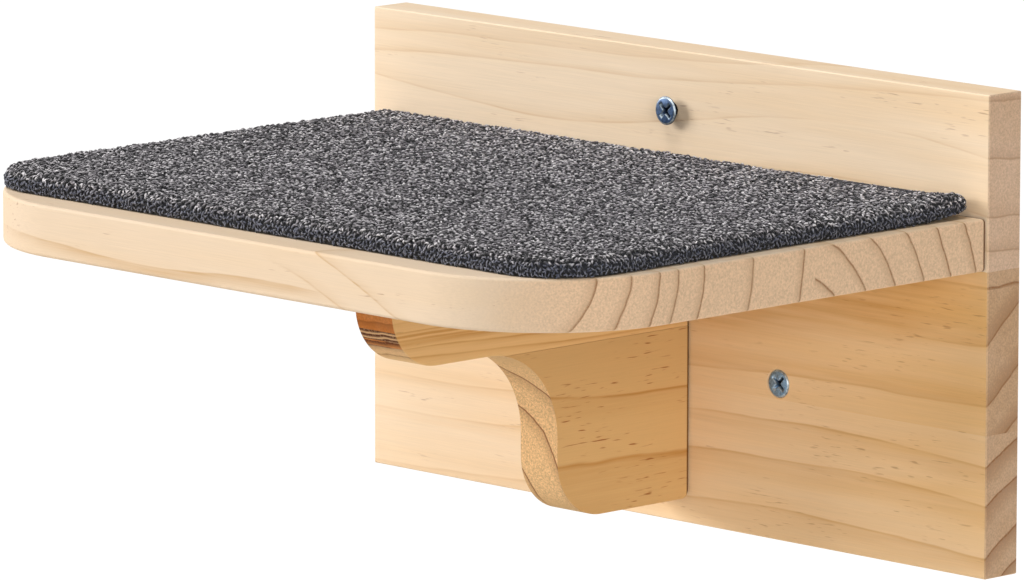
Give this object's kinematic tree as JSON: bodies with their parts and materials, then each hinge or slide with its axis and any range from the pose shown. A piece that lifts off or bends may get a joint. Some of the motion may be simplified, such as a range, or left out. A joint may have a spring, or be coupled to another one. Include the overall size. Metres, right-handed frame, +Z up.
{
  "type": "cat wall step",
  "caption": "Wall-mounted pine step for cats: a carpeted shelf with rounded front corners on a back board and a shaped bracket, held to the wall by countersunk screws.",
  "frame": {"origin": "middle of the back board's wall face", "axes": "+X to the right along the back board, +Y into the wall, +Z up, so the shelf stands out along -Y"},
  "size_m": [0.3, 0.2595, 0.166],
  "materials": {
    "pine_boards": "planed and sanded, clear matt",
    "pine_bracket": "planed and sanded, clear matt",
    "carpet_pile": "charcoal loop pile",
    "carpet_backing": "dark woven backing",
    "carpet_tape": "double-sided tape",
    "blue_zinc": "blue-passivated zinc"
  },
  "bodies": {
    "root": {"back_board": "pine_boards", "shelf_board": "pine_boards", "bracket_arm": "pine_bracket", "bracket_block": "pine_bracket", "carpet_pile": "carpet_pile", "carpet_backing": "carpet_backing", "carpet_tape": "carpet_tape", "wall_screws": "blue_zinc", "shelf_screws": "blue_zinc", "bracket_screws": "blue_zinc", "arm_screws": "blue_zinc"}
  },
  "joints": []
}
